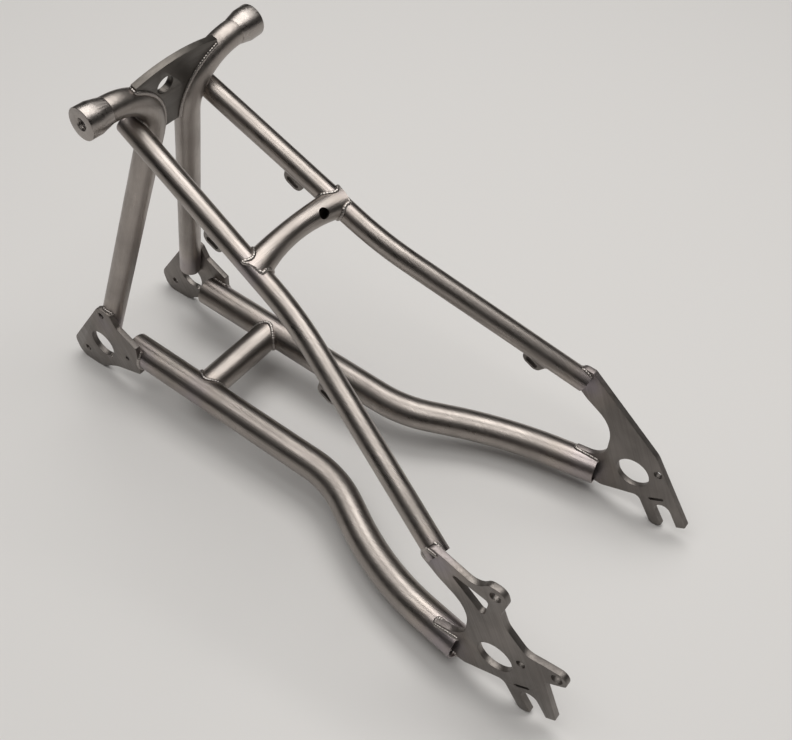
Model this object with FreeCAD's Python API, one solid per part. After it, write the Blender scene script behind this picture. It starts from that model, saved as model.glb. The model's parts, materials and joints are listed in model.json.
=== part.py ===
import FreeCAD, Part
import math
import os

# Rear triangle of a small-wheel folding bicycle, welded from titanium tube and plate.
# Millimetres. +X points to the front pivot's end, +Y to the bicycle's left, +Z up.
# The origin is the middle of the main pivot axis, between the two pivot plates.
# Left-hand pieces are drawn at +Y and mirrored, so both sides come from one set of sizes.

V = FreeCAD.Vector

# ---- what the rear triangle has to fit
AXLE_SPACING = 135.0        # between the inner faces of the dropouts
PIVOT_SPACING = 73.6        # between the inner faces of the pivot plates
AXLE_X = -330.0             # axle centre behind the pivot
AXLE_Z = -10.4              # axle centre below the pivot
AXLE_SLOT = 10.0            # width of the axle slot
PIVOT_BORE = 18.4           # diameter of the main pivot bore
BRAKE_HOLE_SPACING = 51.0   # between the two disc-brake tab holes
BRAKE_HOLE = 6.2            # diameter of each disc-brake tab hole

# ---- plate and tube stock
DROPOUT_T = 3.5
PIVOT_PLATE_T = 3.5
GUSSET_T = 3.5
TAB_T = 4.0
CHAINSTAY_D = 18.2
CHAINSTAY_WALL = 1.0
SEATSTAY_D = 12.0
SEATSTAY_WALL = 0.9
UPRIGHT_D = 13.4
UPRIGHT_WALL = 1.0
LOWER_BRIDGE_D = 18.0
LOWER_BRIDGE_WALL = 1.0
UPPER_BRIDGE_END = (17.0, 13.6)     # oval along and across the stay: the bridge flares at both ends
UPPER_BRIDGE_MIDDLE = (12.4, 12.0)  # and is slim in between
UPPER_BRIDGE_WALL = 1.0
WELD_GAP = 0.3              # root gap left for the weld where a cope meets a round tube

# ---- chainstay line: front end, first bend, second bend, rear end
CHAINSTAY_FRONT_X = -21.0
CHAINSTAY_FRONT_Z = 3.2
CHAINSTAY_BEND_AHEAD = (154.0, 100.0)   # of each bend, ahead of the axle
CHAINSTAY_BEND_Z = (-2.2, -8.8)
CHAINSTAY_BEND_R = (66.0, 170.0)
CHAINSTAY_TOE = 8.6         # how far the last run still moves outboard
CHAINSTAY_REAR_AHEAD = 43.0
CHAINSTAY_REAR_Z = -7.0

# ---- seatstay line: top end, bend, lower end
SEATSTAY_TOP = (-47.0, 24.9, 174.6)
SEATSTAY_BEND_AHEAD = 173.0
SEATSTAY_BEND_Y = 34.0
SEATSTAY_BEND_Z = 117.3
SEATSTAY_BEND_R = 190.0
SEATSTAY_LOW_AHEAD = 61.0
SEATSTAY_LOW_Z = 57.4
SEATSTAY_CAP_T = 2.2
TONGUE_L = 6.0              # of dropout plate let into the end of the seatstay
HEEL_L = 15.0               # of dropout plate let into the end of the chainstay

# ---- upright line: foot, corner under the horn, end of the horn tube
UPRIGHT_FOOT_X = -3.5
UPRIGHT_FOOT_IN = 2.3       # centre line inboard of the pivot plate's inner face
UPRIGHT_FOOT_Z = 12.0
UPRIGHT_CORNER = (-57.3, 8.2, 195.2)
UPRIGHT_BEND_R = 29.0
HORN_END = (-56.0, 42.6, 195.6)
HORN_RING_D = 16.6
HORN_RING_L = 6.8
HORN_TAPER_L = 7.6
HORN_SPIGOT_L = 9.0
HORN_THREAD_D = 5.0         # tapping size of an M6 thread
HORN_COUNTERSINK = 0.9

# ---- gusset between the two horns
GUSSET_LOW_Z = 163.5
GUSSET_CROWN = 3.6          # how far the top edge rises in the middle
GUSSET_TOP_Z = 201.4
GUSSET_HOLE_D = 10.4
GUSSET_HOLE_Y = 7.4
GUSSET_HOLE_Z = 192.3

# ---- bridges
LOWER_BRIDGE_X = -75.4
UPPER_BRIDGE_AT = 0.764     # share of the way from the seatstay top to its bend
UPPER_BRIDGE_RISE = 0.5     # how far it stands above the seatstay line
UPPER_BRIDGE_ARCH = 4.2     # how far its middle bows forward
UPPER_BRIDGE_LAP = 2.5      # how far each end reaches past the crest of the stay
UPPER_BRIDGE_HOLE_D = 6.0
UPPER_BRIDGE_HOLE_Y = -17.0

# ---- cable tabs under the seatstays: share of the way along the upper or lower run
TAB_FRONT_AT = 0.555
TAB_REAR_LEFT_AT = 0.295
TAB_REAR_RIGHT_AT = 0.786
TAB_L = 17.0
TAB_H = 7.5
TAB_SLOT_L = 8.0
TAB_SLOT_H = 3.0


# ---- helpers
def vec(point):
    return V(point[0], point[1], point[2])


def corner_arc(before, at, after, radius):
    """Tangent points and middle of an arc of this radius round the corner 'at'."""
    d1 = (before - at).normalize()
    d2 = (after - at).normalize()
    half = d1.getAngle(d2) / 2.0
    run = radius / math.tan(half)
    bisector = (d1 + d2).normalize()
    centre = at + bisector * (radius / math.sin(half))
    return at + d1 * run, centre - bisector * radius, at + d2 * run


def rounded_wire(points, radii, closed):
    """Straight runs through the points, with a tangent arc at each corner that has a radius."""
    count = len(points)
    edges = []
    corners = []
    for i in range(count):
        inner = closed or 0 < i < count - 1
        if inner and radii[i] > 0:
            corners.append(corner_arc(points[i - 1], points[i], points[(i + 1) % count], radii[i]))
        else:
            corners.append((points[i], None, points[i]))
    for i in range(count if closed else count - 1):
        _, middle, end = corners[i]
        if middle is not None:
            edges.append(Part.Arc(corners[i][0], middle, end).toShape())
        start = corners[(i + 1) % count][0]
        if (start - end).Length > 1e-6:
            edges.append(Part.makeLine(end, start))
    return Part.Wire(edges)


def pipe(points, radii, diameter):
    """Solid round bar swept along a line with bends."""
    path = rounded_wire(points, radii, False)
    ring = Part.makeCircle(diameter / 2.0, points[0], points[1] - points[0])
    return path.makePipeShell([Part.Wire([ring])], True, False)


def tube(points, radii, diameter, wall):
    return pipe(points, radii, diameter).cut(pipe(points, radii, diameter - 2.0 * wall))


def plate_xz(outline, y_inner, thickness):
    """Plate with its inner face at y_inner; outline holds x, z and corner radius."""
    points = [V(x, y_inner, z) for x, z, r in outline]
    wire = rounded_wire(points, [r for x, z, r in outline], True)
    return Part.Face(wire).extrude(V(0, thickness, 0))


def hole_y(x, z, diameter, y_inner, thickness):
    return Part.makeCylinder(diameter / 2.0, thickness + 2.0, V(x, y_inner - 1.0, z), V(0, 1, 0))


def slot_y(centre, direction, length, width, y_inner, thickness):
    """Round-ended slot through a plate, centred on a point, running along a direction."""
    d = V(direction[0], 0, direction[1]).normalize()
    n = V(-d.z, 0, d.x)
    c = V(centre[0], y_inner - 1.0, centre[1])
    half = (length - width) / 2.0
    r = width / 2.0
    edges = [Part.makeLine(c - d * half + n * r, c + d * half + n * r),
             Part.Arc(c + d * half + n * r, c + d * (half + r), c + d * half - n * r).toShape(),
             Part.makeLine(c + d * half - n * r, c - d * half - n * r),
             Part.Arc(c - d * half - n * r, c - d * (half + r), c - d * half + n * r).toShape()]
    return Part.Face(Part.Wire(edges)).extrude(V(0, thickness + 2.0, 0))


def mirrored(shape):
    return shape.mirror(V(0, 0, 0), V(0, 1, 0))


def save(name, shape):
    solid = shape.removeSplitter()
    if len(solid.Solids) == 1:
        solid = solid.Solids[0]
    solid.exportStep("parts/" + name + ".step")


def save_pair(name, shape):
    save(name + "_left", shape)
    save(name + "_right", mirrored(shape))


def largest(shape):
    return max(shape.Solids, key=lambda s: s.Volume)


def point_at_x(start, end, x):
    return start + (end - start) * ((x - start.x) / (end.x - start.x))


def share(start, end, part):
    return start + (end - start) * part


os.makedirs("parts", exist_ok=True)

# ---- pivot plates: flush with the outboard side of the chainstays
plate_in = PIVOT_SPACING / 2.0
plate_out = plate_in + PIVOT_PLATE_T
chainstay_y = plate_out - CHAINSTAY_D / 2.0
bore_r = PIVOT_BORE / 2.0
foot_drop = 25.0            # the lower lug and the front prongs stand this far under the pivot
lug_r = 10.5
lug = (17.0, lug_r - foot_drop)
top_lug = (-5.4, 27.6)
tail_top = CHAINSTAY_FRONT_Z + CHAINSTAY_D / 2.0 + 3.4
tail_low = CHAINSTAY_FRONT_Z - CHAINSTAY_D / 2.0 - 1.3
pivot_outline = [(-13.0, 32.8, 4.0), (-2.9, 32.8, 4.5), (28.4, -12.0, 8.0), (25.0, -foot_drop, 8.0),
                 (7.5, -foot_drop, 12.0), (-9.0, -14.5, 30.0), (-31.0, tail_low, 1.5),
                 (-32.0, tail_top, 0.8), (-17.0, tail_top + 8.2, 4.0)]
pivot_plate = plate_xz(pivot_outline, plate_in, PIVOT_PLATE_T)
for x, z, diameter in ((0.0, 0.0, PIVOT_BORE), (lug[0], lug[1], 4.2), (top_lug[0], top_lug[1], 4.2),
                       (-21.5, 1.0, 3.0), (-bore_r * 0.55, -bore_r * 0.86, 3.2)):
    pivot_plate = pivot_plate.cut(hole_y(x, z, diameter, plate_in, PIVOT_PLATE_T))

# ---- dropouts: slot leans back, two prongs, plate runs up to the seatstay and down to the chainstay
drop_in = AXLE_SPACING / 2.0
slot_r = AXLE_SLOT / 2.0
lean = math.radians(33.0)
down = V(-math.sin(lean), 0, -math.cos(lean))
fore = V(math.cos(lean), 0, -math.sin(lean))
front_prong_w = 6.8
rear_prong_w = 6.6
prong_l = 10.9


def from_axle(a, b):
    """Plate coordinates: a runs down the slot, b runs forward across it."""
    p = V(AXLE_X, 0, AXLE_Z) + down * a + fore * b
    return p.x, p.z


front_out = slot_r + front_prong_w
rear_out = -slot_r - rear_prong_w
drop_mid = drop_in + DROPOUT_T / 2.0
seat_low = V(AXLE_X + SEATSTAY_LOW_AHEAD, drop_mid - 1.9, SEATSTAY_LOW_Z)
seat_bend = V(AXLE_X + SEATSTAY_BEND_AHEAD, SEATSTAY_BEND_Y, SEATSTAY_BEND_Z)
seat_top = vec(SEATSTAY_TOP)
tongue = point_at_x(seat_bend, seat_low, seat_low.x + TONGUE_L)
along = V(seat_bend.x - seat_low.x, 0, seat_bend.z - seat_low.z).normalize()
across = V(-along.z, 0, along.x)
tongue_half = SEATSTAY_D / 2.0 + 0.3
tongue_top = V(tongue.x, 0, tongue.z) + across * tongue_half
tongue_low = V(tongue.x, 0, tongue.z) - across * tongue_half
chain_rear = V(AXLE_X + CHAINSTAY_REAR_AHEAD, drop_mid - 0.6, CHAINSTAY_REAR_Z)
heel_x = chain_rear.x + HEEL_L
heel_half = CHAINSTAY_D / 2.0 + 0.3
throat = [(tongue_low.x, tongue_low.z, 4.0), (seat_low.x - 3.0, seat_low.z - 12.2, 6.0),
          (AXLE_X + 40.0, AXLE_Z + 44.5, 20.0),
          (AXLE_X + 40.0, AXLE_Z + 16.2, 13.0), (heel_x, CHAINSTAY_REAR_Z + heel_half, 0.0),
          (heel_x, CHAINSTAY_REAR_Z - heel_half + 1.0, 0.0),
          (AXLE_X + 38.0, AXLE_Z - 6.3, 4.0)]
blank_low = throat + [from_axle(-10.6, front_out) + (4.0,), from_axle(prong_l, front_out) + (3.3,),
                      from_axle(prong_l, rear_out) + (2.0,)]
right_back = [(AXLE_X + 12.2, AXLE_Z + 39.0, 14.0), (seat_low.x - 3.5, seat_low.z + 8.4, 2.5)]
right_outline = blank_low + right_back + [(tongue_top.x, tongue_top.z, 4.0)]

upper_hole = V(AXLE_X + 27.5, 0, AXLE_Z + 69.4)
brake_dir = V(-37.5, 0, -34.6).normalize()
lower_hole = upper_hole + brake_dir * BRAKE_HOLE_SPACING
left_back = [(lower_hole.x + 5.4, lower_hole.z - 9.6, 2.0), (lower_hole.x - 5.6, lower_hole.z - 1.6, 3.0),
             (lower_hole.x - 4.6, lower_hole.z + 5.7, 5.0), (lower_hole.x + 8.0, lower_hole.z + 4.2, 6.0),
             (lower_hole.x + 17.0, lower_hole.z + 2.6, 8.0), (upper_hole.x - 8.0, upper_hole.z - 20.0, 14.0),
             (upper_hole.x - 4.2, upper_hole.z - 10.5, 5.0), (upper_hole.x - 6.6, upper_hole.z - 1.0, 5.6),
             (upper_hole.x - 4.0, upper_hole.z + 6.4, 5.6), (upper_hole.x + 4.5, upper_hole.z + 6.2, 5.0),
             (upper_hole.x + 10.0, upper_hole.z - 1.6, 8.0)]
left_outline = blank_low + left_back + [(tongue_top.x, tongue_top.z, 4.0)]


def dropout(outline):
    """Plate with its axle slot, weight hole, eyelet hole and slit."""
    plate = plate_xz(outline, drop_in, DROPOUT_T)
    axle = slot_y(from_axle(20.0 - slot_r, 0.0), (down.x, down.z), 40.0, AXLE_SLOT, drop_in, DROPOUT_T)
    slit = slot_y(from_axle(-9.0, 0.8), (fore.x, fore.z), 9.4, 1.8, drop_in, DROPOUT_T)
    weight_hole = hole_y(AXLE_X + 22.4, AXLE_Z + 17.8, 19.8, drop_in, DROPOUT_T)
    eyelet = hole_y(AXLE_X + 8.7, AXLE_Z + 27.0, 5.0, drop_in, DROPOUT_T)
    for cutter in (axle, slit, weight_hole, eyelet):
        plate = plate.cut(cutter)
    return plate


dropout_right = dropout(right_outline)
dropout_left = dropout(left_outline)
window = [(seat_low.x - 7.5, seat_low.z - 1.4, 1.2), (upper_hole.x + 2.8, upper_hole.z - 7.6, 2.5),
          (upper_hole.x + 4.0, upper_hole.z - 22.4, 2.2)]
dropout_left = dropout_left.cut(plate_xz(window, drop_in - 1.0, DROPOUT_T + 2.0))
for hole in (upper_hole, lower_hole):
    dropout_left = dropout_left.cut(hole_y(hole.x, hole.z, BRAKE_HOLE, drop_in, DROPOUT_T))

# ---- chainstays: straight run, S bend outboard, both ends open and notched for the plates
chain_points = [V(CHAINSTAY_FRONT_X, chainstay_y, CHAINSTAY_FRONT_Z),
                V(AXLE_X + CHAINSTAY_BEND_AHEAD[0], chainstay_y, CHAINSTAY_BEND_Z[0]),
                V(AXLE_X + CHAINSTAY_BEND_AHEAD[1], chain_rear.y - CHAINSTAY_TOE, CHAINSTAY_BEND_Z[1]),
                chain_rear]
chain_radii = [0.0, CHAINSTAY_BEND_R[0], CHAINSTAY_BEND_R[1], 0.0]
chainstay = tube(chain_points, chain_radii, CHAINSTAY_D, CHAINSTAY_WALL)
chainstay_bar = pipe(chain_points, chain_radii, CHAINSTAY_D + 2.0 * WELD_GAP)
front_notch = plate_xz(pivot_outline, plate_in, CHAINSTAY_D)
heel_notch = Part.makeBox(60.0, DROPOUT_T, 60.0, V(heel_x - 60.0, drop_in, -40.0))
chainstay = largest(chainstay.cut(front_notch).cut(heel_notch))

# ---- seatstays: straight, one slight bend, lower end slotted over the dropout
seat_points = [seat_top, seat_bend, seat_low]
seat_radii = [0.0, SEATSTAY_BEND_R, 0.0]
seatstay = tube(seat_points, seat_radii, SEATSTAY_D, SEATSTAY_WALL)
seatstay_bar = pipe(seat_points, seat_radii, SEATSTAY_D + 2.0 * WELD_GAP)

# ---- uprights with their horns
foot = V(UPRIGHT_FOOT_X, plate_in - UPRIGHT_FOOT_IN, UPRIGHT_FOOT_Z)
corner = vec(UPRIGHT_CORNER)
horn_end = vec(HORN_END)
upright_points = [foot, corner, horn_end]
upright_radii = [0.0, UPRIGHT_BEND_R, 0.0]
upright = tube(upright_points, upright_radii, UPRIGHT_D, UPRIGHT_WALL)
upright_bar = pipe(upright_points, upright_radii, UPRIGHT_D + 2.0 * WELD_GAP)
upright = largest(upright.cut(plate_xz(pivot_outline, plate_in, UPRIGHT_D)))
seatstay = largest(seatstay.cut(upright_bar).cut(dropout_left).cut(dropout_right))

# ---- seatstay end caps
seat_dir = (seat_top - seat_bend).normalize()
cap = Part.makeCylinder(SEATSTAY_D / 2.0, SEATSTAY_CAP_T, seat_top, seat_dir)
rim = [e for e in cap.Edges if e.Curve.TypeId == "Part::GeomCircle"
       and (e.CenterOfMass - (seat_top + seat_dir * SEATSTAY_CAP_T)).Length < 0.1]
cap = cap.makeFillet(1.8, rim).cut(upright_bar)

# ---- horn inserts: outer ring, taper, spigot in the tube, threaded bore with a countersink
horn_dir = (horn_end - corner).normalize()
taper = Part.makeCone(UPRIGHT_D / 2.0, HORN_RING_D / 2.0, HORN_TAPER_L, horn_end, horn_dir)
ring = Part.makeCylinder(HORN_RING_D / 2.0, HORN_RING_L, horn_end + horn_dir * HORN_TAPER_L, horn_dir)
spigot_start = horn_end - horn_dir * HORN_SPIGOT_L
spigot = Part.makeCylinder(UPRIGHT_D / 2.0 - UPRIGHT_WALL, HORN_SPIGOT_L, spigot_start, horn_dir)
face = horn_end + horn_dir * (HORN_TAPER_L + HORN_RING_L)
insert = ring.fuse([taper, spigot])
insert = insert.cut(Part.makeCylinder(HORN_THREAD_D / 2.0, (face - spigot_start).Length,
                                      spigot_start, horn_dir))
insert = insert.cut(Part.makeCone(HORN_THREAD_D / 2.0, HORN_THREAD_D / 2.0 + HORN_COUNTERSINK,
                                  HORN_COUNTERSINK, face - horn_dir * HORN_COUNTERSINK, horn_dir))

# ---- gusset: leaning plate between the uprights and under the horns, crowned top edge
lean_slope = (corner.x - foot.x) / (corner.z - foot.z)


def on_gusset(y, z):
    return V(corner.x + lean_slope * (z - corner.z), y, z)


def upright_y(z):
    return corner.y + (foot.y - corner.y) * (z - corner.z) / (foot.z - corner.z)


low_y = upright_y(GUSSET_LOW_Z)
horn_y = 27.0
gusset_edges = [Part.makeLine(on_gusset(-low_y, GUSSET_LOW_Z), on_gusset(low_y, GUSSET_LOW_Z)),
                Part.makeLine(on_gusset(low_y, GUSSET_LOW_Z), on_gusset(low_y, 176.0)),
                Part.makeLine(on_gusset(low_y, 176.0), on_gusset(horn_y, corner.z)),
                Part.makeLine(on_gusset(horn_y, corner.z), on_gusset(horn_y, GUSSET_TOP_Z)),
                Part.Arc(on_gusset(horn_y, GUSSET_TOP_Z), on_gusset(0, GUSSET_TOP_Z + GUSSET_CROWN),
                         on_gusset(-horn_y, GUSSET_TOP_Z)).toShape(),
                Part.makeLine(on_gusset(-horn_y, GUSSET_TOP_Z), on_gusset(-horn_y, corner.z)),
                Part.makeLine(on_gusset(-horn_y, corner.z), on_gusset(-low_y, 176.0)),
                Part.makeLine(on_gusset(-low_y, 176.0), on_gusset(-low_y, GUSSET_LOW_Z))]
gusset_normal = V(1.0, 0, -lean_slope).normalize()
gusset = Part.Face(Part.Wire(gusset_edges))
gusset.translate(gusset_normal * (-GUSSET_T / 2.0))
gusset = gusset.extrude(gusset_normal * GUSSET_T)
gusset = gusset.cut(upright_bar).cut(mirrored(upright_bar))
gusset = gusset.cut(Part.makeCylinder(GUSSET_HOLE_D / 2.0, 3.0 * GUSSET_T,
                                      on_gusset(GUSSET_HOLE_Y, GUSSET_HOLE_Z)
                                      - gusset_normal * (1.5 * GUSSET_T), gusset_normal))
gusset = largest(gusset)

# ---- lower bridge: straight tube coped onto both chainstays
lower_z = point_at_x(chain_points[0], chain_points[1], LOWER_BRIDGE_X).z
bridge_ends = [V(LOWER_BRIDGE_X, -chainstay_y, lower_z), V(LOWER_BRIDGE_X, chainstay_y, lower_z)]
lower_bridge = tube(bridge_ends, [0.0, 0.0], LOWER_BRIDGE_D, LOWER_BRIDGE_WALL)
lower_bridge = largest(lower_bridge.cut(chainstay_bar).cut(mirrored(chainstay_bar)))

# ---- upper bridge: bowed tube, flared to an oval mouth that laps over each seatstay
cross = share(seat_top, seat_bend, UPPER_BRIDGE_AT)
ahead = V(seat_top.x - seat_bend.x, 0, seat_top.z - seat_bend.z).normalize()
rise = V(-ahead.z, 0, ahead.x)
end_left = cross + rise * UPPER_BRIDGE_RISE + V(0, UPPER_BRIDGE_LAP, 0)
end_right = V(end_left.x, -end_left.y, end_left.z)
middle = V(end_left.x, 0, end_left.z) + ahead * UPPER_BRIDGE_ARCH
arc = Part.Arc(end_left, middle, end_right).toShape()


def bowed(inset):
    """Bar along the bow, its surface this far inside the tube's outside."""
    ovals = []
    for part, (along_stay, across_stay) in ((0.0, UPPER_BRIDGE_END), (0.5, UPPER_BRIDGE_MIDDLE),
                                            (1.0, UPPER_BRIDGE_END)):
        at = arc.FirstParameter + (arc.LastParameter - arc.FirstParameter) * part
        centre = arc.valueAt(at)
        sideways = rise.cross(arc.tangentAt(at)).normalize()
        oval = Part.Ellipse(centre + sideways * (along_stay / 2.0 - inset),
                            centre + rise * (across_stay / 2.0 - inset), centre)
        ovals.append(Part.Wire([oval.toShape()]))
    return Part.Wire([arc]).makePipeShell(ovals, True, False)


upper_bridge = bowed(0.0).cut(bowed(UPPER_BRIDGE_WALL))
upper_bridge = largest(upper_bridge.cut(seatstay_bar).cut(mirrored(seatstay_bar)))
drill = V(middle.x, UPPER_BRIDGE_HOLE_Y, middle.z)
upper_bridge = upper_bridge.cut(Part.makeCylinder(UPPER_BRIDGE_HOLE_D / 2.0, UPPER_BRIDGE_END[0],
                                                  drill, V(-0.92, 0, 0.39)))


# ---- cable tabs: half-round lugs with a slot, hanging under the seatstays
def cable_tab(part, start, end):
    """Tab on the underside of the seatstay, this share of the way from start to end."""
    at = share(start, end, part)
    run = V(end.x - start.x, 0, end.z - start.z).normalize()
    if run.z > 0:
        run = run * -1.0
    drop = V(-run.z, 0, run.x)
    if drop.z > 0:
        drop = drop * -1.0
    half = TAB_L / 2.0
    low = SEATSTAY_D / 2.0 + TAB_H
    base = V(at.x, at.y - TAB_T / 2.0, at.z)
    corners = [base + run * half, base + run * (half - 3.0) + drop * low,
               base - run * (half - 3.0) + drop * low, base - run * half]
    wire = rounded_wire(corners, [0.0, 4.5, 4.5, 0.0], True)
    tab = Part.Face(wire).extrude(V(0, TAB_T, 0))
    slot_at = base + drop * (low - 1.6 - TAB_SLOT_H / 2.0)
    slot = slot_y((slot_at.x, slot_at.z), (run.x, run.z), TAB_SLOT_L, TAB_SLOT_H,
                  base.y, TAB_T)
    return tab.cut(slot).cut(seatstay_bar)


save_pair("pivot_plate", pivot_plate)
save("dropout_left", dropout_left)
save("dropout_right", mirrored(dropout_right))
save_pair("chainstay", chainstay)
save_pair("seatstay", seatstay)
save_pair("seatstay_cap", cap)
save_pair("upright", upright)
save_pair("horn_insert", insert)
save("top_gusset", gusset)
save("chainstay_bridge", lower_bridge)
save("seatstay_bridge", upper_bridge)
save_pair("cable_tab_front", cable_tab(TAB_FRONT_AT, seat_top, seat_bend))
save("cable_tab_rear_left", cable_tab(TAB_REAR_LEFT_AT, seat_bend, seat_low))
save("cable_tab_rear_right", mirrored(cable_tab(TAB_REAR_RIGHT_AT, seat_bend, seat_low)))
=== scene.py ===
# %% [markdown]
# # A welded titanium rear triangle
# The object is the swinging rear end of a small-wheel folding bicycle: tubes, cut plates
# and two turned inserts, all joined by welds. The CAD model holds every size. This script
# loads it as a fixed frame and adds what a drawing leaves out: softened plate edges, the
# weld beads, the threads, the brushed metal, the light and the camera.

# %% Load the frame
import bmesh
import bpy
import json
import math
from mathutils import Euler, Matrix, Vector
from mathutils.bvhtree import BVHTree


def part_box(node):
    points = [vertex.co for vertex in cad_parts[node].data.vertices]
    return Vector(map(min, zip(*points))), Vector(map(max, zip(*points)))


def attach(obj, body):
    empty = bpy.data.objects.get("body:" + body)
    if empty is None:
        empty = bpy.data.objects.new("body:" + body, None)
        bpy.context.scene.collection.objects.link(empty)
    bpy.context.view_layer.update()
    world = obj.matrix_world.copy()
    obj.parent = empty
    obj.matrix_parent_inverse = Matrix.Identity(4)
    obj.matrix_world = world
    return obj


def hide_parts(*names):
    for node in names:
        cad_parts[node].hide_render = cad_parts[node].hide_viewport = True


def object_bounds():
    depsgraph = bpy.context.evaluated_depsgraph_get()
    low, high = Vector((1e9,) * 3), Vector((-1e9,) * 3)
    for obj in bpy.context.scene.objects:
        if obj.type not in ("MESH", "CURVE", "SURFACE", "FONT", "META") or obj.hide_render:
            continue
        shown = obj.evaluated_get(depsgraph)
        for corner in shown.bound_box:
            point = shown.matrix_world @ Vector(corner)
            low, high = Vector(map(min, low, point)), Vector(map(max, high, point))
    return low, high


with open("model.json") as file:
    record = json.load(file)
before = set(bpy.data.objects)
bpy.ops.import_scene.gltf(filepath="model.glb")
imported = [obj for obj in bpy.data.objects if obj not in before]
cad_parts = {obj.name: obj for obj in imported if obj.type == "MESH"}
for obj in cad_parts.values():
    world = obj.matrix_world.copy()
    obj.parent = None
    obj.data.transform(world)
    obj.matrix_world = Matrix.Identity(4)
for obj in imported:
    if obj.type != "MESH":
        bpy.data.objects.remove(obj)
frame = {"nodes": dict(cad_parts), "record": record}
nodes = frame["nodes"]
cad_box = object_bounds()
MM = 0.001
print("loaded", len(nodes), "CAD nodes")

# %% [markdown]
# ## Camera
# A long-ish lens stands behind the frame, to its left and well above it, and looks down
# over the dropouts towards the pivot. A fixed place and rotation could also be replaced by
# a Track To constraint, but typed angles are easier to repeat exactly.

# %% Camera
CAMERA_AT = (-0.4054, 0.2967, 0.4869)
CAMERA_TURN = (41.61, -1.17, -143.09)      # degrees about X, Y and Z
LENS_MM = 48.75

camera_data = bpy.data.cameras.new("camera")
camera_data.lens = LENS_MM
camera_data.sensor_width = 36.0
camera_data.shift_y = -0.0039
camera_data.clip_start = 0.01
camera = bpy.data.objects.new("camera", camera_data)
camera.location = CAMERA_AT
camera.rotation_euler = Euler([math.radians(a) for a in CAMERA_TURN])
bpy.context.scene.collection.objects.link(camera)
bpy.context.scene.camera = camera
print("camera", CAMERA_AT, "lens", LENS_MM)

# %% [markdown]
# ## Small helpers for node trees
# A node group is built by naming its sockets and then wiring nodes inside it. These
# helpers keep that wiring to one line each.

# %% Node helpers
def new_group(name, inputs, outputs):
    """Empty shader group with named sockets. Each input is (name, socket type, start value)."""
    group = bpy.data.node_groups.new(name, "ShaderNodeTree")
    for label, kind, start in inputs:
        socket = group.interface.new_socket(label, in_out="INPUT", socket_type=kind)
        socket.default_value = start
    for label, kind in outputs:
        group.interface.new_socket(label, in_out="OUTPUT", socket_type=kind)
    ins = group.nodes.new("NodeGroupInput")
    outs = group.nodes.new("NodeGroupOutput")
    return group, ins.outputs, outs.inputs


def put(tree, kind, settings=None, **inputs):
    """New node of a kind. Inputs given by name are a value or a socket to link."""
    node = tree.nodes.new(kind)
    for key, value in (settings or {}).items():
        setattr(node, key, value)
    for key, value in inputs.items():
        index = int(key[1:]) if key[0] == "i" and key[1:].isdigit() else key.replace("_", " ")
        if isinstance(value, bpy.types.NodeSocket):
            tree.links.new(value, node.inputs[index])
        else:
            node.inputs[index].default_value = value
    return node


def math_node(tree, operation, a, b=0.0, clamp=False):
    settings = {"operation": operation, "use_clamp": clamp}
    return put(tree, "ShaderNodeMath", settings, i0=a, i1=b).outputs[0]


def vector_node(tree, operation, a, b=(0.0, 0.0, 0.0), result=0):
    node = put(tree, "ShaderNodeVectorMath", {"operation": operation}, i0=a, i1=b)
    return node.outputs[result]


def blend_colour(tree, share, a, b):
    """Mix of two colours, by a share from 0 to 1."""
    node = tree.nodes.new("ShaderNodeMix")
    node.data_type = "RGBA"
    for index, value in ((0, share), (6, a), (7, b)):
        if isinstance(value, bpy.types.NodeSocket):
            tree.links.new(value, node.inputs[index])
        else:
            node.inputs[index].default_value = value
    return node.outputs[2]


print("node helpers ready")

# %% [markdown]
# ## Brushed grain
# The tubes are finished by hand with an abrasive pad, which leaves hair-fine lines in one
# direction. A noise texture becomes lines when the space it is read in is squeezed along
# that direction, so the group takes the direction as a vector. An image texture would need
# UVs and would repeat; this never does.

# %% Brushed grain group
COARSE_SCALE = 0.22             # coarse streaks for each fine line
FINE_SHARE = 0.6
PATCHES_PER_METRE = 38.0


def build_grain():
    group, given, out = new_group(
        "brushed_grain",
        [("Along", "NodeSocketVector", (1.0, 0.0, 0.0)),
         ("Lines per metre", "NodeSocketFloat", 2600.0),
         ("Stretch", "NodeSocketFloat", 0.97), ("Contrast", "NodeSocketFloat", 2.8)],
        [("Lines", "NodeSocketFloat"), ("Patches", "NodeSocketFloat")])
    place = put(group, "ShaderNodeTexCoord").outputs["Object"]
    run = vector_node(group, "DOT_PRODUCT", place, given["Along"], result=1)
    cut = math_node(group, "MULTIPLY", run, given["Stretch"])
    scaled = put(group, "ShaderNodeVectorMath", {"operation": "SCALE"}, i0=given["Along"])
    group.links.new(cut, scaled.inputs["Scale"])
    squeezed = vector_node(group, "SUBTRACT", place, scaled.outputs[0])
    fine = put(group, "ShaderNodeTexNoise", Vector=squeezed, Scale=given["Lines per metre"],
               Detail=3.0, Roughness=0.65).outputs["Fac"]
    coarse_scale = math_node(group, "MULTIPLY", given["Lines per metre"], COARSE_SCALE)
    coarse = put(group, "ShaderNodeTexNoise", Vector=squeezed, Scale=coarse_scale,
                 Detail=2.0).outputs["Fac"]
    lines = math_node(group, "ADD", math_node(group, "MULTIPLY", fine, FINE_SHARE),
                      math_node(group, "MULTIPLY", coarse, 1.0 - FINE_SHARE))
    patches = put(group, "ShaderNodeTexNoise", Vector=place, Scale=PATCHES_PER_METRE,
                  Detail=3.0, Roughness=0.55).outputs["Fac"]
    for label, value in (("Lines", lines), ("Patches", patches)):
        from_middle = math_node(group, "SUBTRACT", value, 0.5)
        spread = math_node(group, "MULTIPLY", from_middle, given["Contrast"])
        group.links.new(math_node(group, "ADD", spread, 0.5, clamp=True), out[label])
    return group


GRAIN = build_grain()
print("group", GRAIN.name)

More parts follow.
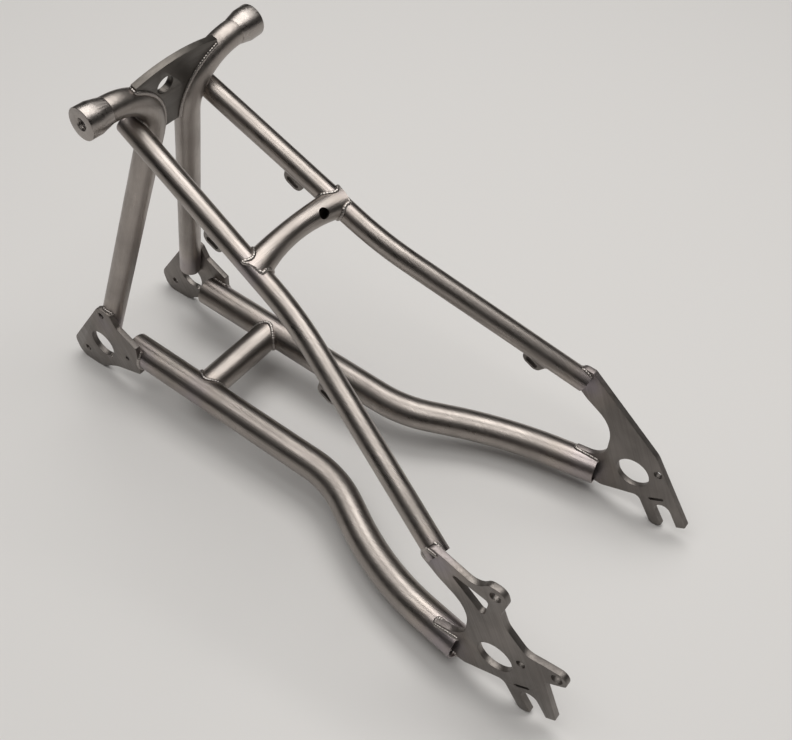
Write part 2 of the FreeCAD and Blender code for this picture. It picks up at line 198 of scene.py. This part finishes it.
# %% [markdown]
# ## Heat beside a weld
# Titanium goes straw, then brown, then blue where it got hot in air. Good shielding gas
# leaves only a faint straw band. The group measures the distance from a joint, with the
# side folded over so that left and right get the same band, and gives a colour and a mask.

# %% Heat tint group
STRAW = (0.62, 0.50, 0.36, 1.0)
PLUM = (0.36, 0.31, 0.38, 1.0)
RAGGED_EDGE = 0.006             # metres by which the band's edge wanders
PLUM_SHARE = 1.6                # how soon the inner colour takes over


def build_heat():
    group, given, out = new_group(
        "weld_heat",
        [("Joint", "NodeSocketVector", (0.0, 0.0, 0.0)), ("Reach", "NodeSocketFloat", 0.022)],
        [("Mask", "NodeSocketFloat"), ("Colour", "NodeSocketColor")])
    place = put(group, "ShaderNodeTexCoord").outputs["Object"]
    folded = vector_node(group, "ABSOLUTE", place)
    keep = put(group, "ShaderNodeSeparateXYZ", Vector=place).outputs
    side = put(group, "ShaderNodeSeparateXYZ", Vector=folded).outputs
    point = put(group, "ShaderNodeCombineXYZ", X=keep["X"], Y=side["Y"], Z=keep["Z"]).outputs[0]
    ragged = put(group, "ShaderNodeTexNoise", Vector=place, Scale=210.0, Detail=2.0).outputs["Fac"]
    far = vector_node(group, "DISTANCE", point, given["Joint"], result=1)
    far = math_node(group, "ADD", far, math_node(group, "MULTIPLY", ragged, RAGGED_EDGE))
    share_out = math_node(group, "DIVIDE", far, given["Reach"])
    near = math_node(group, "SUBTRACT", 1.0, share_out, clamp=True)
    hot = math_node(group, "MULTIPLY", near, PLUM_SHARE, clamp=True)
    group.links.new(near, out["Mask"])
    group.links.new(blend_colour(group, hot, STRAW, PLUM), out["Colour"])
    return group


HEAT = build_heat()
print("group", HEAT.name)

# %% [markdown]
# ## The metals
# One function makes every finish. The Principled shader stays in the material, and the two
# groups only feed its colour, roughness and bump. Titanium is a warm grey, darker than
# steel. A tube is rubbed smooth, a plate keeps the duller skin of the sheet it was cut
# from, and a turned insert has rings from the lathe.

# %% Titanium
DULL_PATCH = 0.80               # a dull patch's colour, as a share of the bright one
LINE_TONE = 0.66                # a line's colour, as a share of the bright one
LINE_SHARE = 0.30               # how far a line takes that colour
GRAIN_DEPTH = 0.00006           # metres


def titanium(name, colour, dull, along, lines=2300.0, bump=0.5, spread=0.16, heat=()):
    """Brushed titanium. colour is its brightest tone, and dull its middle roughness.

    spread is how far the grain moves the roughness, and heat lists joints as
    (place, reach, strength).
    """
    material = bpy.data.materials.new(name)
    material.use_nodes = True
    tree = material.node_tree
    shader = tree.nodes["Principled BSDF"]
    shader.inputs["Metallic"].default_value = 1.0
    grain = tree.nodes.new("ShaderNodeGroup")
    grain.node_tree = GRAIN
    grain.inputs["Along"].default_value = along
    grain.inputs["Lines per metre"].default_value = lines
    patch_tone = tuple(c * DULL_PATCH for c in colour) + (1.0,)
    line_tone = tuple(c * LINE_TONE for c in colour) + (1.0,)
    tone = blend_colour(tree, grain.outputs["Patches"], colour + (1.0,), patch_tone)
    line_share = math_node(tree, "MULTIPLY", grain.outputs["Lines"], LINE_SHARE)
    tone = blend_colour(tree, line_share, tone, line_tone)
    for joint, reach, strength in heat:
        band = tree.nodes.new("ShaderNodeGroup")
        band.node_tree = HEAT
        band.inputs["Joint"].default_value = joint
        band.inputs["Reach"].default_value = reach
        share = math_node(tree, "MULTIPLY", band.outputs["Mask"], strength)
        tone = blend_colour(tree, share, tone, band.outputs["Colour"])
    tree.links.new(tone, shader.inputs["Base Color"])
    rough = math_node(tree, "ADD", dull - spread / 2.0,
                      math_node(tree, "MULTIPLY", grain.outputs["Lines"], spread))
    rough = math_node(tree, "ADD", rough,
                      math_node(tree, "MULTIPLY", grain.outputs["Patches"], spread * 0.5))
    tree.links.new(rough, shader.inputs["Roughness"])
    raised = put(tree, "ShaderNodeBump", Strength=bump, Distance=GRAIN_DEPTH,
                 Height=grain.outputs["Lines"])
    tree.links.new(raised.outputs["Normal"], shader.inputs["Normal"])
    return material


TUBE_TONE = (0.37, 0.335, 0.31)
PLATE_TONE = (0.235, 0.215, 0.20)
# The gusset's tone is painted far darker than the plates' as painted shade: it stands for the dark
# reflection on its face, not for a darker metal.
GUSSET_PAINTED_SHADE_TONE = (0.12, 0.11, 0.10)
TURNED_TONE = (0.42, 0.385, 0.36)
BEAD_TONE = (0.44, 0.405, 0.38)

# %% [markdown]
# ## Lathe rings
# A turned face keeps the track of the tool: fine rings round its own axis. The group turns
# the distance from that axis into rings, so it works on the end face and on the taper.

# %% Lathe ring group
RING_DEPTH = 0.00004            # metres
WOBBLE = 2.0                    # radians by which a ring wanders


def build_rings():
    group, given, out = new_group(
        "lathe_rings",
        [("Centre", "NodeSocketVector", (0.0, 0.0, 0.0)),
         ("Rings per metre", "NodeSocketFloat", 3200.0)],
        [("Rings", "NodeSocketFloat")])
    place = put(group, "ShaderNodeTexCoord").outputs["Object"]
    both_sides = vector_node(group, "ABSOLUTE", place)
    folded = put(group, "ShaderNodeSeparateXYZ", Vector=both_sides).outputs
    own = put(group, "ShaderNodeSeparateXYZ", Vector=place).outputs
    mid = put(group, "ShaderNodeSeparateXYZ", Vector=given["Centre"]).outputs
    dx = math_node(group, "SUBTRACT", own["X"], mid["X"])
    dz = math_node(group, "SUBTRACT", own["Z"], mid["Z"])
    radius = math_node(group, "SQRT", math_node(group, "ADD", math_node(group, "MULTIPLY", dx, dx),
                                                math_node(group, "MULTIPLY", dz, dz)))
    travel = math_node(group, "ADD", radius, folded["Y"])
    turns = math_node(group, "MULTIPLY", given["Rings per metre"], 2.0 * math.pi)
    wave = math_node(group, "MULTIPLY", travel, turns)
    wobble = put(group, "ShaderNodeTexNoise", Vector=place, Scale=420.0, Detail=2.0).outputs["Fac"]
    moved = math_node(group, "ADD", wave, math_node(group, "MULTIPLY", wobble, WOBBLE))
    rings = math_node(group, "SINE", moved)
    rings = math_node(group, "ADD", math_node(group, "MULTIPLY", rings, 0.5), 0.5)
    group.links.new(rings, out["Rings"])
    return group


RINGS = build_rings()


def turn_on_lathe(material, centre, strength):
    """Adds lathe rings to a material's bump, on top of the grain."""
    tree = material.node_tree
    rings = tree.nodes.new("ShaderNodeGroup")
    rings.node_tree = RINGS
    rings.inputs["Centre"].default_value = centre
    shader = tree.nodes["Principled BSDF"]
    under = shader.inputs["Normal"].links[0].from_socket
    raised = put(tree, "ShaderNodeBump", Strength=strength, Distance=RING_DEPTH,
                 Height=rings.outputs["Rings"], Normal=under)
    tree.links.new(raised.outputs["Normal"], shader.inputs["Normal"])


print("group", RINGS.name)

# %% [markdown]
# ## Where the heat was
# Each band sits on a joint. Most places come from the boxes of the CAD nodes, so they move
# with the model; the feet of the uprights and the tails of the chainstays are typed. The
# points are on the left side, because the heat group folds the right side over.

# %% Where the joints are
def middle_of(name):
    low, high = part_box(name)
    return (low + high) / 2.0


bridge_middle, upper_middle = middle_of("chainstay_bridge"), middle_of("seatstay_bridge")
bridge_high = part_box("chainstay_bridge")[1]
upper_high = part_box("seatstay_bridge")[1]
seat_low, seat_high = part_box("seatstay_left")
chain_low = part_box("chainstay_left")[0]
BRIDGE_FOOT = (bridge_middle.x, bridge_high.y + 6 * MM, bridge_middle.z)
UPPER_FOOT = (upper_middle.x, upper_high.y, upper_middle.z)
HEEL = (chain_low.x + 8 * MM, 69 * MM, -7 * MM)
STAY_END = (seat_low.x + 2 * MM, 68 * MM, 57 * MM)
STAY_TOP = (seat_high.x, 25 * MM, seat_high.z)
FOOT = (-6 * MM, 34 * MM, 22 * MM)
TAIL = (-32 * MM, 38 * MM, 4 * MM)
print("joints at", [tuple(round(c, 3) for c in p) for p in (BRIDGE_FOOT, UPPER_FOOT, HEEL)])

# %% [markdown]
# ## One finish for each kind of piece
# The grain runs along each tube, across the bridges and down the plates. A tube that bends
# could take its direction from UVs instead, but the bends are slight enough for one vector.

# %% Materials
CHAIN_RUN = (1.0, 0.0, 0.0)
SEAT_RUN = (0.887, 0.0, 0.462)
UPRIGHT_RUN = (-0.279, 0.0, 0.960)
chainstay_metal = titanium("chainstay_metal", TUBE_TONE, 0.29, CHAIN_RUN,
                           heat=((BRIDGE_FOOT, 0.024, 0.35), (HEEL, 0.030, 0.45),
                                 (TAIL, 0.024, 0.35)))
seatstay_metal = titanium("seatstay_metal", TUBE_TONE, 0.28, SEAT_RUN,
                          heat=((UPPER_FOOT, 0.022, 0.35), (STAY_END, 0.022, 0.45),
                                (STAY_TOP, 0.020, 0.30)))
upright_metal = titanium("upright_metal", TUBE_TONE, 0.32, UPRIGHT_RUN,
                         heat=((FOOT, 0.026, 0.40), (STAY_TOP, 0.022, 0.30)))
bridge_metal = titanium("bridge_metal", TUBE_TONE, 0.30, (0.0, 1.0, 0.0),
                        heat=((BRIDGE_FOOT, 0.020, 0.40), (UPPER_FOOT, 0.018, 0.40)))
plate_metal = titanium("plate_metal", PLATE_TONE, 0.40, (0.4, 0.0, 0.92), lines=1300.0, bump=0.7,
                       spread=0.22, heat=((HEEL, 0.026, 0.40), (STAY_END, 0.022, 0.40),
                                          (FOOT, 0.020, 0.30)))
# Painted shade: the gusset takes the much darker tone in place of the dark reflection on its face.
gusset_metal_painted_shade = titanium("gusset_metal_painted_shade", GUSSET_PAINTED_SHADE_TONE, 0.34, (0.0, 1.0, 0.0), lines=1300.0, bump=0.6,
                        spread=0.20)
turned_metal = titanium("turned_metal", TURNED_TONE, 0.27, (0.0, 0.0, 0.0), lines=900.0, bump=0.15)
horn_low, horn_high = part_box("horn_insert_left")
HORN_END = Vector(((horn_low.x + horn_high.x) / 2.0, horn_high.y, (horn_low.z + horn_high.z) / 2.0))
turn_on_lathe(turned_metal, HORN_END, 0.35)
bead_metal = titanium("bead_metal", BEAD_TONE, 0.30, (0.0, 0.0, 0.0), lines=1400.0,
                      bump=0.3, spread=0.12)
print("materials", len(bpy.data.materials))

# %% [markdown]
# ## Tubes
# The tubes come straight from the CAD model. Their shape is already right, so they only
# get the brushed metal.

# %% Finish the tubes
TUBE_FINISH = {"chainstay_left": chainstay_metal, "chainstay_right": chainstay_metal,
               "seatstay_left": seatstay_metal, "seatstay_right": seatstay_metal,
               "upright_left": upright_metal, "upright_right": upright_metal,
               "chainstay_bridge": bridge_metal, "seatstay_bridge": bridge_metal}


def paint(thing, material):
    thing.data.materials.clear()
    thing.data.materials.append(material)


for name, metal in TUBE_FINISH.items():
    paint(nodes[name], metal)
print("tubes finished:", len(TUBE_FINISH))

# %% [markdown]
# ## Plates and small parts
# A plate cut by water or laser is deburred by hand, so its edges catch a thin line of
# light. The CAD edge is a perfect corner, which no real light ever shows. Each plate is
# therefore rebuilt from its own faces: the triangles are merged into flat faces again and
# a small bevel rounds every corner.

# %% Softened copies
MERGE_DISTANCE = 2e-6           # metres between corners that are really one
FLAT_ANGLE = math.radians(0.4)
BEVEL_ANGLE = math.radians(38)


def soften(node, material, width):
    """Copy of a CAD node with its corners rounded by width, which stands for that node."""
    mesh = bpy.data.meshes.new(node + "_finished")
    work = bmesh.new()
    work.from_mesh(nodes[node].data)
    bmesh.ops.remove_doubles(work, verts=work.verts, dist=MERGE_DISTANCE)
    bmesh.ops.dissolve_limit(work, angle_limit=FLAT_ANGLE, verts=work.verts, edges=work.edges)
    for face in work.faces:
        face.smooth = True
    work.to_mesh(mesh)
    work.free()
    piece = bpy.data.objects.new(node + "_finished", mesh)
    bpy.context.scene.collection.objects.link(piece)
    bevel = piece.modifiers.new("deburred edge", "BEVEL")
    bevel.width = width
    bevel.segments = 3
    bevel.limit_method = "ANGLE"
    bevel.angle_limit = BEVEL_ANGLE
    bevel.harden_normals = True
    paint(piece, material)
    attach(piece, "root")
    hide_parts(node)
    return piece


for side in ("left", "right"):
    soften("dropout_" + side, plate_metal, 0.4 * MM)
    soften("pivot_plate_" + side, plate_metal, 0.4 * MM)
    soften("cable_tab_front_" + side, plate_metal, 0.3 * MM)
    soften("cable_tab_rear_" + side, plate_metal, 0.3 * MM)
    soften("seatstay_cap_" + side, seatstay_metal, 0.2 * MM)
    soften("horn_insert_" + side, turned_metal, 0.3 * MM)
soften("top_gusset", gusset_metal_painted_shade, 0.4 * MM)

# %% [markdown]
# ## Threads in the inserts
# Each insert is drilled and tapped M6. The CAD bore is the tapping size, and the thread is
# a helical ridge on its wall. A bump map could fake it, but a ridge gives true dark lines
# when the hole is seen at a slant.

# %% Threads
THREAD_PITCH = 1.0 * MM
THREAD_TURNS = 16
THREAD_SIDES = 28
THREAD_RADIUS = 2.5 * MM
THREAD_RISE = 0.32 * MM


def thread(name, mouth, inward):
    """Helical ridge from just inside a mouth, running inward."""
    work = bmesh.new()
    a = inward.orthogonal().normalized()
    b = inward.cross(a)
    rows = []
    for i in range(THREAD_TURNS * THREAD_SIDES + 1):
        angle = 2.0 * math.pi * i / THREAD_SIDES
        out = a * math.cos(angle) + b * math.sin(angle)
        at = mouth + inward * (0.6 * MM + THREAD_PITCH * i / THREAD_SIDES)
        wall, crest = THREAD_RADIUS - 0.01 * MM, THREAD_RADIUS - THREAD_RISE
        rows.append([work.verts.new(at + out * wall - inward * 0.42 * THREAD_PITCH),
                     work.verts.new(at + out * crest - inward * 0.06 * THREAD_PITCH),
                     work.verts.new(at + out * crest + inward * 0.06 * THREAD_PITCH),
                     work.verts.new(at + out * wall + inward * 0.42 * THREAD_PITCH)])
    for near, far in zip(rows, rows[1:]):
        for k in range(3):
            work.faces.new((near[k], near[k + 1], far[k + 1], far[k]))
        work.faces.new((near[3], near[0], far[0], far[3]))
    work.faces.new(list(reversed(rows[0])))
    work.faces.new(rows[-1])
    bmesh.ops.recalc_face_normals(work, faces=work.faces)
    mesh = bpy.data.meshes.new(name)
    work.to_mesh(mesh)
    work.free()
    piece = bpy.data.objects.new(name, mesh)
    bpy.context.scene.collection.objects.link(piece)
    paint(piece, turned_metal)
    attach(piece, "root")


mounts = {m["name"]: m for m in frame["record"]["mounts"]}
for side in ("left", "right"):
    mount = mounts["horn_thread_" + side]
    leave = Vector(mount["axis"]).normalized()
    middle = Vector(mount["pos_m"])
    mouth = middle + leave * (abs(horn_high.y) - abs(middle.y)) / abs(leave.y)
    thread("thread_" + side, mouth, -leave)
print("threads cut:", THREAD_TURNS, "turns each")

# %% [markdown]
# ## Finding the seams
# A weld lies where one piece's cut edge meets its neighbour. Those edges are already in the
# CAD meshes, so nothing has to be measured: an edge is part of a seam when it is sharp and
# both of its ends are within the root gap of the other piece. Edges inside a tube are
# left out by asking whether a straight line from them can get away from the frame, as a
# torch would have to come in.

# %% Seam finder
def clean_mesh(node):
    work = bmesh.new()
    work.from_mesh(nodes[node].data)
    bmesh.ops.remove_doubles(work, verts=work.verts, dist=MERGE_DISTANCE)
    return work


solids = {name: clean_mesh(name) for name in sorted(nodes)}
trees = {name: BVHTree.FromBMesh(work) for name, work in solids.items()}
ROOT_GAP = 0.45 * MM
SHARP = math.radians(24)
RAY_COUNT = 60
OPEN_SHARE = 0.07
TORCH_GAP = 0.6 * MM
TRIES = 9
CLOSE_GAP = 9.0 * MM


def sky(count):
    """Directions spread evenly over a ball."""
    turn = math.pi * (3.0 - math.sqrt(5.0))
    for i in range(count):
        height = 1.0 - 2.0 * (i + 0.5) / count
        ring = math.sqrt(1.0 - height * height)
        yield Vector((ring * math.cos(i * turn), ring * math.sin(i * turn), height))


SKY = list(sky(RAY_COUNT))


def clear_way(start, way):
    return all(tree.ray_cast(start, way)[0] is None for tree in trees.values())


def torch_reaches(vert):
    """True if enough straight ways lead out from a point just off either face at the seam."""
    for face in vert.link_faces:
        start = vert.co + face.normal * TORCH_GAP
        clear = sum(clear_way(start, way) for way in SKY)
        if clear >= RAY_COUNT * OPEN_SHARE:
            return True
    return False


def chains_of(edges):
    """Joins edges into runs of vertices. Short edges between two branch points are dropped."""
    links = {}
    for e in edges:
        for v in e.verts:
            links.setdefault(v, []).append(e)
    kept = [e for e in edges
            if not (e.calc_length() < 1.6 * MM and all(len(links[v]) > 2 for v in e.verts))]
    links = {}
    for e in kept:
        for v in e.verts:
            links.setdefault(v, []).append(e)
    left = set(kept)
    runs = []
    starts = [v for v in links if len(links[v]) != 2] + list(links)
    for start in starts:
        while True:
            here = start
            first = next((e for e in links[here] if e in left), None)
            if first is None:
                break
            run = [here]
            edge = first
            while edge is not None:
                left.discard(edge)
                here = edge.other_vert(here)
                run.append(here)
                edge = None
                if len(links[here]) == 2:
                    edge = next((e for e in links[here] if e in left), None)
            runs.append(run)
    return runs


def length_of(points):
    return sum((b - a).length for a, b in zip(points, points[1:]))


def seams(a, b, shortest=5.0 * MM, tucked=False):
    """Every run of piece a's edge that meets piece b and that a torch can reach.

    A tucked seam lies in a corner too tight for that test, so its longest run is taken.
    """
    tree = trees[b]
    found = []
    for e in solids[a].edges:
        if len(e.link_faces) != 2 or e.calc_face_angle(0.0) < SHARP:
            continue
        if all(tree.find_nearest(v.co)[3] < ROOT_GAP for v in e.verts):
            found.append(e)
    chains = chains_of(found)
    if tucked:
        chains = [max(chains, key=lambda run: length_of([v.co for v in run]))]
    runs = []
    for run in chains:
        points = [v.co.copy() for v in run]
        total = length_of(points)
        tries = [run[int(i * (len(run) - 1) / (TRIES - 1))] for i in range(TRIES)]
        if total < shortest or (not tucked and sum(torch_reaches(v) for v in tries) < TRIES / 4):
            continue
        across = (points[0] - points[-1]).length
        if 0.0 < across < CLOSE_GAP and total > 4.0 * across:
            points.append(points[0].copy())
        runs.append(points)
    return runs


print("solids ready:", len(solids))

# %% [markdown]
# ## Laying a bead
# A hand weld is a row of small overlapping puddles. The bead is swept along the seam as a
# ring whose radius swells once for each puddle, which gives the look of a stack of coins.
# Real mesh keeps the ripples in every view.

# %% Weld bead
PUDDLE = 1.5 * MM
RING_SIDES = 10
STEPS_PER_PUDDLE = 6
SMOOTHING = 30                  # passes that take the corners out of a seam
SEED_STEP = 1.7                 # keeps two beads of one joint from rippling alike


def resample(points, step):
    """Points at equal steps along a run, with its corners smoothed a little."""
    closed = (points[0] - points[-1]).length < 0.05 * MM
    total = length_of(points)
    count = max(4, int(total / step))
    spread = []
    travelled = 0.0
    index = 0
    for i in range(count + 1):
        target = total * i / count
        while index < len(points) - 2:
            passed = travelled + (points[index + 1] - points[index]).length
            if passed >= target:
                break
            travelled = passed
            index += 1
        piece = points[index + 1] - points[index]
        share = (target - travelled) / piece.length if piece.length > 0 else 0.0
        spread.append(points[index] + piece * min(max(share, 0.0), 1.0))
    if closed:
        spread.pop()
    for _ in range(SMOOTHING):
        last = len(spread) - 1
        spread = [p if not closed and i in (0, last)
                  else spread[i - 1] * 0.25 + p * 0.5 + spread[(i + 1) % len(spread)] * 0.25
                  for i, p in enumerate(spread)]
    return spread, closed


def lay_bead(work, points, radius, seed):
    """Adds one rippled bead along the points to a mesh being built."""
    path, closed = resample(points, PUDDLE / STEPS_PER_PUDDLE)
    count = len(path)
    rings = []
    across = None
    for i, at in enumerate(path):
        ahead = path[(i + 1) % count] if closed or i < count - 1 else at * 2.0 - path[i - 1]
        behind = path[i - 1] if closed or i > 0 else at * 2.0 - path[i + 1]
        along = (ahead - behind).normalized()
        if across is None:
            across = along.orthogonal().normalized()
        across = (across - along * across.dot(along)).normalized()
        up = along.cross(across)
        phase = (i / STEPS_PER_PUDDLE) % 1.0
        swell = 0.84 + 0.16 * math.sin(math.pi * phase) ** 0.6
        swell *= 1.0 + 0.05 * math.sin(seed + i * 0.37) + 0.04 * math.sin(seed * 2.3 + i * 0.11)
        if not closed:
            from_end = min(i, count - 1 - i) / STEPS_PER_PUDDLE
            swell *= min(1.0, 0.55 + 0.45 * from_end)
        ring = []
        for s in range(RING_SIDES):
            angle = 2.0 * math.pi * s / RING_SIDES
            side = across * math.cos(angle) + up * math.sin(angle)
            ring.append(work.verts.new(at + side * radius * swell))
        rings.append(ring)
    spans = count if closed else count - 1
    for i in range(spans):
        near, far = rings[i], rings[(i + 1) % count]
        offset = 0
        if closed and i == spans - 1:
            offset = min(range(RING_SIDES), key=lambda k: (near[0].co - far[k].co).length)
        for s in range(RING_SIDES):
            t = (s + 1) % RING_SIDES
            far_s, far_t = (s + offset) % RING_SIDES, (t + offset) % RING_SIDES
            work.faces.new((near[s], near[t], far[far_t], far[far_s]))
    if not closed:
        work.faces.new(list(reversed(rings[0])))
        work.faces.new(rings[-1])
    return length_of(path)


def weld(a, b, radius, shortest=5.0 * MM, tucked=False):
    """The weld between two CAD nodes, as one piece."""
    work = bmesh.new()
    total = sum(lay_bead(work, run, radius, SEED_STEP * i + len(a))
                for i, run in enumerate(seams(a, b, shortest, tucked)))
    if not work.faces:
        work.free()
        print("no seam between", a, "and", b)
        return None
    bmesh.ops.recalc_face_normals(work, faces=work.faces)
    for face in work.faces:
        face.smooth = True
    name = "weld_" + a + "_" + b
    mesh = bpy.data.meshes.new(name)
    work.to_mesh(mesh)
    work.free()
    bead = bpy.data.objects.new(name, mesh)
    bpy.context.scene.collection.objects.link(bead)
    paint(bead, bead_metal)
    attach(bead, "root")
    print(name, round(total / MM), "mm of bead")
    return bead


# %% [markdown]
# ## Every joint
# On the real part each tube and plate is welded all round where it meets its neighbour. The
# thick tubes get the widest bead and the cable tabs the finest. The beads could be one mesh,
# but a piece for each joint keeps them easy to find and to leave out.

# %% Weld every joint
for side in ("left", "right"):
    weld("chainstay_bridge", "chainstay_" + side, 1.3 * MM)
    weld("seatstay_bridge", "seatstay_" + side, 1.1 * MM)
    weld("chainstay_" + side, "dropout_" + side, 1.2 * MM)
    weld("seatstay_" + side, "dropout_" + side, 1.0 * MM)
    weld("chainstay_" + side, "pivot_plate_" + side, 1.2 * MM)
    weld("upright_" + side, "pivot_plate_" + side, 1.2 * MM)
    weld("seatstay_" + side, "upright_" + side, 1.0 * MM, tucked=True)
    weld("top_gusset", "upright_" + side, 1.3 * MM)
    weld("cable_tab_front_" + side, "seatstay_" + side, 0.7 * MM)
    weld("cable_tab_rear_" + side, "seatstay_" + side, 0.7 * MM)

# %% [markdown]
# ## Floor, light and surroundings
# Polished metal shows its room more than itself. A wide pale ceiling gives the broad bright
# band along the top of each tube, and a dark room at eye height gives the black edges. The
# floor is plain and pale.

# %% Floor
floor_z = cad_box[0][2]
FLOOR_HALF = 4.0
floor_mesh = bpy.data.meshes.new("floor")
floor_mesh.from_pydata([(-FLOOR_HALF, -FLOOR_HALF, floor_z), (FLOOR_HALF, -FLOOR_HALF, floor_z),
                        (FLOOR_HALF, FLOOR_HALF, floor_z), (-FLOOR_HALF, FLOOR_HALF, floor_z)],
                       [], [(0, 1, 2, 3)])
floor = bpy.data.objects.new("floor", floor_mesh)
bpy.context.scene.collection.objects.link(floor)
floor_paint = bpy.data.materials.new("floor_paint")
floor_paint.use_nodes = True
floor_shader = floor_paint.node_tree.nodes["Principled BSDF"]
floor_shader.inputs["Base Color"].default_value = (0.70, 0.69, 0.68, 1.0)
floor_shader.inputs["Roughness"].default_value = 0.7
floor_shader.inputs["Specular IOR Level"].default_value = 0.25
paint(floor, floor_paint)
print("floor at", round(floor_z, 4))

# %% [markdown]
# ## Lights
# Two long ceiling panels run above the frame with a gap between them, which draws the thin
# dark line down the middle of the highlights. The farther one is stronger, so the shadows
# fall to the lower left of the picture. One large panel would give a single plain band.

# %% Lights
def panel(name, at, size, power, aim=(-0.16, 0.0, 0.05)):
    """Rectangular soft light that faces a point on the frame."""
    data = bpy.data.lights.new(name, "AREA")
    data.shape = "RECTANGLE"
    data.size, data.size_y = size
    data.energy = power
    data.color = (1.0, 0.985, 0.96)
    light = bpy.data.objects.new(name, data)
    light.location = at
    light.rotation_euler = (Vector(aim) - Vector(at)).to_track_quat("-Z", "Y").to_euler()
    bpy.context.scene.collection.objects.link(light)
    return light


panel("ceiling_near", (-0.15, 0.42, 1.55), (1.9, 0.62), 8.0)
panel("ceiling_far", (-0.15, -0.52, 1.55), (1.9, 0.95), 17.5)
print("lights", len(bpy.data.lights))

# %% [markdown]
# ## Surroundings
# The metal sees a room that is dark at eye height and pale overhead, while the camera sees a
# plain pale backdrop. The light path tells the two kinds of ray apart.

# %% Surroundings
world = bpy.data.worlds.new("room")
bpy.context.scene.world = world
world.use_nodes = True
room = world.node_tree
room.nodes.clear()
seen = put(room, "ShaderNodeBackground", Color=(0.80, 0.79, 0.78, 1.0), Strength=0.85)
direction = put(room, "ShaderNodeTexCoord").outputs["Generated"]
height = put(room, "ShaderNodeSeparateXYZ", Vector=direction).outputs["Z"]
ramp = room.nodes.new("ShaderNodeValToRGB")
room.links.new(height, ramp.inputs["Fac"])
ramp.color_ramp.elements[0].position = 0.0
ramp.color_ramp.elements[0].color = (0.010, 0.009, 0.009, 1.0)
ramp.color_ramp.elements[1].position = 1.0
ramp.color_ramp.elements[1].color = (0.55, 0.54, 0.53, 1.0)
middle = ramp.color_ramp.elements.new(0.45)
middle.color = (0.022, 0.021, 0.020, 1.0)
mirrored_room = put(room, "ShaderNodeBackground", Color=ramp.outputs["Color"], Strength=0.9)
camera_ray = put(room, "ShaderNodeLightPath").outputs["Is Camera Ray"]
both = put(room, "ShaderNodeMixShader", i0=camera_ray, i1=mirrored_room.outputs[0],
           i2=seen.outputs[0])
out = put(room, "ShaderNodeOutputWorld")
room.links.new(both.outputs[0], out.inputs["Surface"])
bpy.context.scene.view_settings.view_transform = "Standard"
print("room ready")

# %% [markdown]
# ## Tidying up
# The working meshes that were used to find the seams are freed.

# %% Finish
for work in solids.values():
    work.free()
